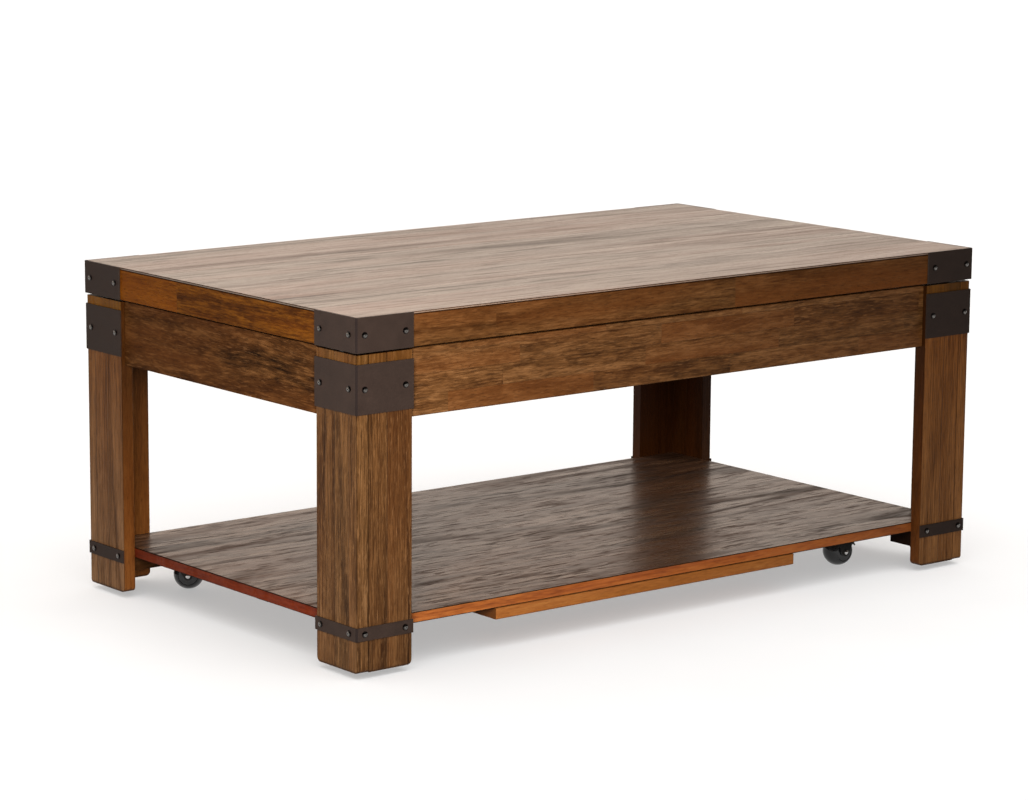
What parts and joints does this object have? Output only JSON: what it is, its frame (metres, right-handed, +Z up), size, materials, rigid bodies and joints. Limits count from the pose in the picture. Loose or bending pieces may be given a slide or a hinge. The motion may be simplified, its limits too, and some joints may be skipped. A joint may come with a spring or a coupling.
{
  "type": "lift top coffee table",
  "caption": "Rectangular wooden coffee table on hidden casters, with steel-bound corners, a low shelf and a top that lifts up and forward over a storage box.",
  "frame": {"origin": "on the floor, at the centre of the table's footprint", "axes": "+X along the table's length, -Y towards its front long side (the side the top comes out over), +Z up"},
  "size_m": [1.2192, 0.7112, 0.517],
  "materials": {
    "top_veneer": "brown plank veneer, satin lacquer",
    "rim_wood": "warm brown solid wood, satin lacquer",
    "leg_wood": "laminated brown wood with dark streaks, satin lacquer",
    "apron_wood": "finger-jointed brown wood, satin lacquer",
    "compartment_board": "plain stained board",
    "shelf_veneer": "coarse-grained brown veneer, satin lacquer",
    "batten_wood": "stained solid wood",
    "dark_steel": "dark bronze-grey powder coat",
    "mechanism_steel": "black satin paint",
    "spring_steel": "bright zinc-plated wire",
    "caster_steel": "dark satin metal",
    "caster_ball": "black moulded plastic"
  },
  "bodies": {
    "base": {"apron_back": "apron_wood", "apron_front": "apron_wood", "apron_left": "apron_wood", "apron_right": "apron_wood", "caster_plate_back_left": "caster_steel", "caster_plate_back_right": "caster_steel", "caster_plate_front_left": "caster_steel", "caster_plate_front_right": "caster_steel", "compartment_floor": "compartment_board", "leg_band_back_left": "dark_steel", "leg_band_back_right": "dark_steel", "leg_band_front_left": "dark_steel", "leg_band_front_right": "dark_steel", "leg_end_board_back_left": "leg_wood", "leg_end_board_back_right": "leg_wood", "leg_end_board_front_left": "leg_wood", "leg_end_board_front_right": "leg_wood", "leg_side_board_back_left": "leg_wood", "leg_side_board_back_right": "leg_wood", "leg_side_board_front_left": "leg_wood", "leg_side_board_front_right": "leg_wood", "leg_strap_back_left": "dark_steel", "leg_strap_back_right": "dark_steel", "leg_strap_front_left": "dark_steel", "leg_strap_front_right": "dark_steel", "lift_base_plate_left": "mechanism_steel", "lift_base_plate_right": "mechanism_steel", "lower_shelf": "shelf_veneer", "shelf_block_back_left": "batten_wood", "shelf_block_back_right": "batten_wood", "shelf_block_front_left": "batten_wood", "shelf_block_front_right": "batten_wood", "shelf_centre_batten": "batten_wood", "shelf_front_batten": "batten_wood"},
    "front_arms": {"lift_front_arm_left": "mechanism_steel", "lift_front_arm_right": "mechanism_steel", "lift_cross_bar": "mechanism_steel"},
    "rear_arms": {"lift_rear_arm_left": "mechanism_steel", "lift_rear_arm_right": "mechanism_steel"},
    "lifting_top": {"top_angle_back_left": "dark_steel", "top_angle_back_right": "dark_steel", "top_angle_front_left": "dark_steel", "top_angle_front_right": "dark_steel", "top_panel": "top_veneer", "top_rim_back": "rim_wood", "top_rim_front": "rim_wood", "top_rim_left": "rim_wood", "top_rim_right": "rim_wood", "lift_top_rail_left": "mechanism_steel", "lift_top_rail_right": "mechanism_steel"},
    "lift_springs": {"lift_spring_left": "spring_steel", "lift_spring_right": "spring_steel"},
    "caster_yoke_body_front_left": {"caster_yoke_front_left": "caster_steel"},
    "caster_wheel_body_front_left": {"caster_wheel_front_left": "caster_ball"},
    "caster_yoke_body_front_right": {"caster_yoke_front_right": "caster_steel"},
    "caster_wheel_body_front_right": {"caster_wheel_front_right": "caster_ball"},
    "caster_yoke_body_back_left": {"caster_yoke_back_left": "caster_steel"},
    "caster_wheel_body_back_left": {"caster_wheel_back_left": "caster_ball"},
    "caster_yoke_body_back_right": {"caster_yoke_back_right": "caster_steel"},
    "caster_wheel_body_back_right": {"caster_wheel_back_right": "caster_ball"}
  },
  "joints": [
    {"name": "top_lift", "type": "hinge", "parent": "base", "child": "front_arms", "pos_m": [0, -0.2, 0.431], "axis": [1, 0, 0], "range_deg": [0, 112]},
    {"name": "rear_arm_swing", "type": "hinge", "parent": "base", "child": "rear_arms", "pos_m": [0, -0.13938, 0.396], "axis": [1, 0, 0], "range_deg": [0, 112]},
    {"name": "top_level", "type": "hinge", "parent": "front_arms", "child": "lifting_top", "pos_m": [0, 0.04757, 0.46579], "axis": [1, 0, 0], "range_deg": [-112, 0]},
    {"name": "spring_swing", "type": "hinge", "parent": "base", "child": "lift_springs", "pos_m": [0, -0.28863, 0.44663], "axis": [1, 0, 0], "range_deg": [0, 56], "deforming": ["lift_spring_left", "lift_spring_right"]},
    {"name": "caster_swivel_front_left", "type": "hinge", "parent": "base", "child": "caster_yoke_body_front_left", "pos_m": [-0.468, -0.237, 0.055], "axis": [0, 0, 1], "continuous": true},
    {"name": "caster_roll_front_left", "type": "hinge", "parent": "caster_yoke_body_front_left", "child": "caster_wheel_body_front_left", "pos_m": [-0.49408, -0.23001, 0.024], "axis": [-0.2588, -0.9659, 0], "continuous": true},
    {"name": "caster_swivel_front_right", "type": "hinge", "parent": "base", "child": "caster_yoke_body_front_right", "pos_m": [0.468, -0.237, 0.055], "axis": [0, 0, 1], "continuous": true},
    {"name": "caster_roll_front_right", "type": "hinge", "parent": "caster_yoke_body_front_right", "child": "caster_wheel_body_front_right", "pos_m": [0.441, -0.237, 0.024], "axis": [0, -1, 0], "continuous": true},
    {"name": "caster_swivel_back_left", "type": "hinge", "parent": "base", "child": "caster_yoke_body_back_left", "pos_m": [-0.468, 0.237, 0.055], "axis": [0, 0, 1], "continuous": true},
    {"name": "caster_roll_back_left", "type": "hinge", "parent": "caster_yoke_body_back_left", "child": "caster_wheel_body_back_left", "pos_m": [-0.48919, 0.25373, 0.024], "axis": [-0.6198, -0.7848, 0], "continuous": true},
    {"name": "caster_swivel_back_right", "type": "hinge", "parent": "base", "child": "caster_yoke_body_back_right", "pos_m": [0.468, 0.237, 0.055], "axis": [0, 0, 1], "continuous": true},
    {"name": "caster_roll_back_right", "type": "hinge", "parent": "caster_yoke_body_back_right", "child": "caster_wheel_body_back_right", "pos_m": [0.44462, 0.2505, 0.024], "axis": [-0.5, -0.866, 0], "continuous": true}
  ],
  "couplings": [
    {"joint": "rear_arm_swing", "follows": "top_lift", "ratio": 1},
    {"joint": "top_level", "follows": "top_lift", "ratio": -1},
    {"joint": "spring_swing", "follows": "top_lift", "ratio": 0.5}
  ]
}
